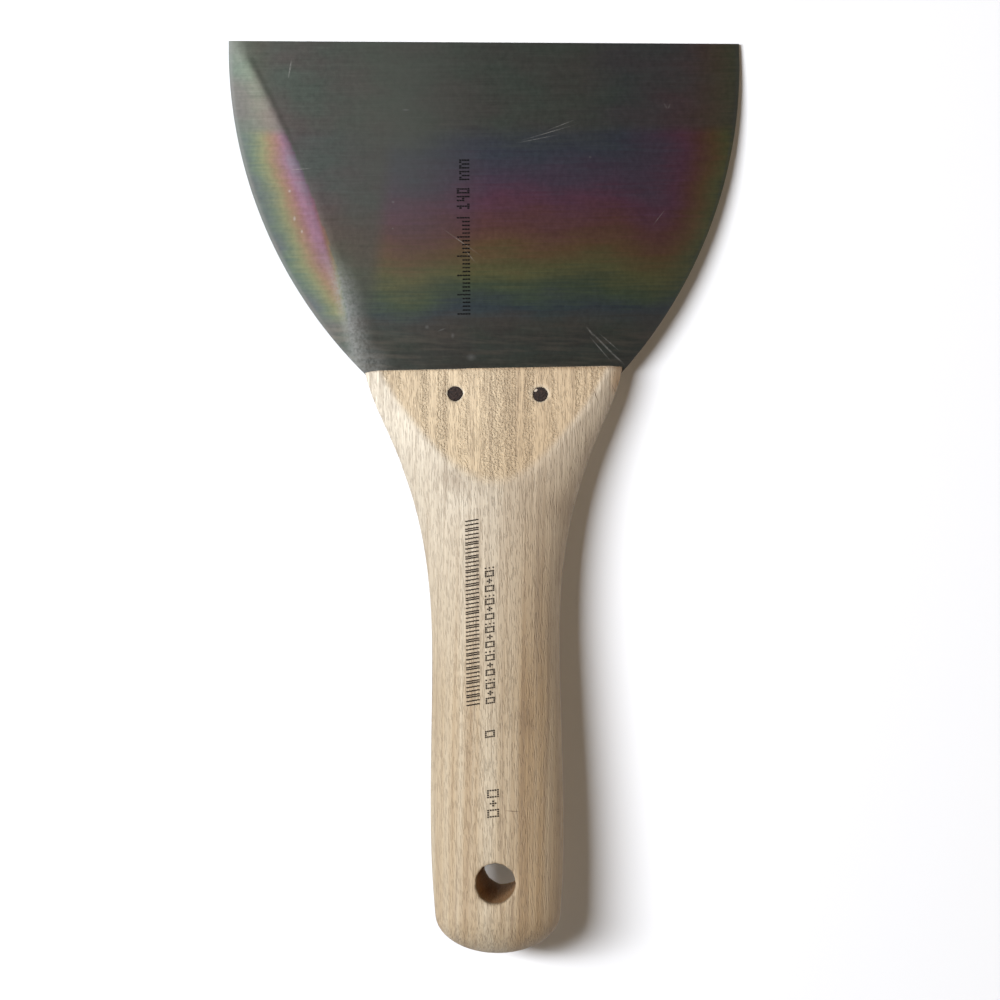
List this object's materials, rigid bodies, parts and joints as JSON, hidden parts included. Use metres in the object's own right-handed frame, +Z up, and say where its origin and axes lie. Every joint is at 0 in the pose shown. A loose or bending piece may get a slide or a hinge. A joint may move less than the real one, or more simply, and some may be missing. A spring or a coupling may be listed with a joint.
{
  "type": "painters spatula",
  "caption": "Wide painter's spatula: thin flared steel blade pinned in the sawn mouth of an oval wooden handle with planed flats and a hang hole.",
  "frame": {"origin": "centre of the bounding box, on the surface that the tool lies on", "axes": "+Y from the butt of the handle towards the working edge, +X to the right seen from the front, +Z up. The tool lies as it rests on a table, on the belly of its handle and on its working edge, so its own plane is tipped 5.2 degrees about X."},
  "size_m": [0.14, 0.248, 0.0342],
  "materials": {
    "handle_wood": "raw, sanded, unvarnished",
    "blade_steel": "dark tempered, brushed across, with heat colours",
    "pin_steel": "cut rough, dark"
  },
  "bodies": {
    "root": {"handle": "handle_wood", "blade": "blade_steel", "rivet_left": "pin_steel", "rivet_right": "pin_steel"}
  },
  "joints": []
}
